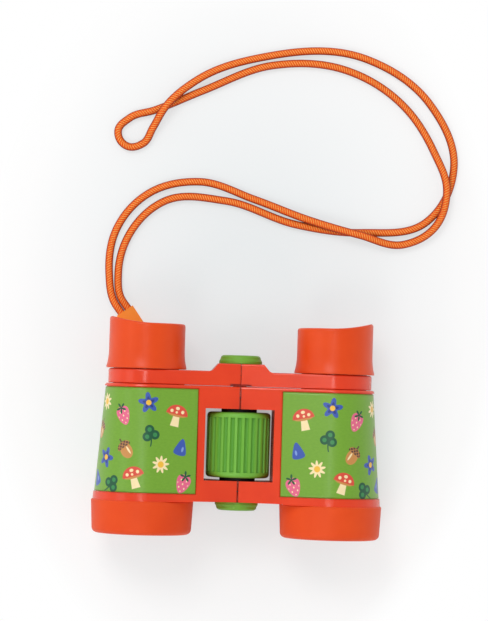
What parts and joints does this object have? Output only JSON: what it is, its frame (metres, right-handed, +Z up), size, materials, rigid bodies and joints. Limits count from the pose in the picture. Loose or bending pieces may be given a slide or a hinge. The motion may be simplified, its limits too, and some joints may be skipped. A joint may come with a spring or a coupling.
{
  "type": "toy binoculars",
  "caption": "Toy binoculars with tapering barrels on a folding centre hinge, a ribbed focus wheel that drives the eyepiece bridge, winged eyecups and a looped neck cord.",
  "frame": {"origin": "on the surface the objective caps lie on, under the middle of the object's width and length, without its cord", "axes": "+X to the right across both barrels, +Y along the barrels towards the eyepieces, +Z up"},
  "size_m": [0.1346, 0.185, 0.038],
  "materials": {
    "body_orange": "gloss moulded plastic",
    "soft_orange": "matte soft-touch plastic",
    "wheel_green": "satin moulded plastic",
    "label_green": "printed vinyl label",
    "lens_clear": "clear polished plastic",
    "washer_black": "black nylon",
    "steel": "plain steel",
    "tab_orange": "soft vinyl",
    "cord_orange": "braided polyester"
  },
  "bodies": {
    "left_half": {"left_body": "body_orange", "left_label": "label_green", "left_objective_cap": "soft_orange", "left_objective_lens": "lens_clear", "hinge_pin": "steel", "hinge_bush": "steel", "front_cap": "wheel_green", "front_washer": "washer_black", "rear_washer": "washer_black", "strap_screw": "steel", "cord_tab": "tab_orange", "neck_cord": "cord_orange"},
    "right_half": {"right_body": "body_orange", "right_label": "label_green", "right_objective_cap": "soft_orange", "right_objective_lens": "lens_clear"},
    "wheel": {"focus_wheel": "wheel_green"},
    "left_eyepiece": {"left_eyepiece_arm": "body_orange", "left_eyepiece_tube": "body_orange", "left_eyecup": "soft_orange", "left_ocular_lens": "lens_clear", "focus_screw": "steel", "rear_cap": "wheel_green"},
    "right_eyepiece": {"right_eyepiece_arm": "body_orange", "right_eyepiece_tube": "body_orange", "right_eyecup": "soft_orange", "right_ocular_lens": "lens_clear"}
  },
  "joints": [
    {"name": "fold", "type": "hinge", "parent": "left_half", "child": "right_half", "pos_m": [0, 0, 0.019], "axis": [0, 1, 0], "range_deg": [0, 80]},
    {"name": "focus", "type": "hinge", "parent": "left_half", "child": "wheel", "pos_m": [0, 0, 0.019], "axis": [0, 1, 0], "range_deg": [0, 450]},
    {"name": "left_eyepiece_slide", "type": "slide", "parent": "left_half", "child": "left_eyepiece", "axis": [0, 1, 0], "range_m": [0, 0.005]},
    {"name": "right_eyepiece_slide", "type": "slide", "parent": "right_half", "child": "right_eyepiece", "axis": [0, 1, 0], "range_m": [0, 0.005]}
  ],
  "couplings": [
    {"joint": "left_eyepiece_slide", "follows": "focus", "m_per_rad": 0.0006366},
    {"joint": "right_eyepiece_slide", "follows": "focus", "m_per_rad": 0.0006366}
  ]
}
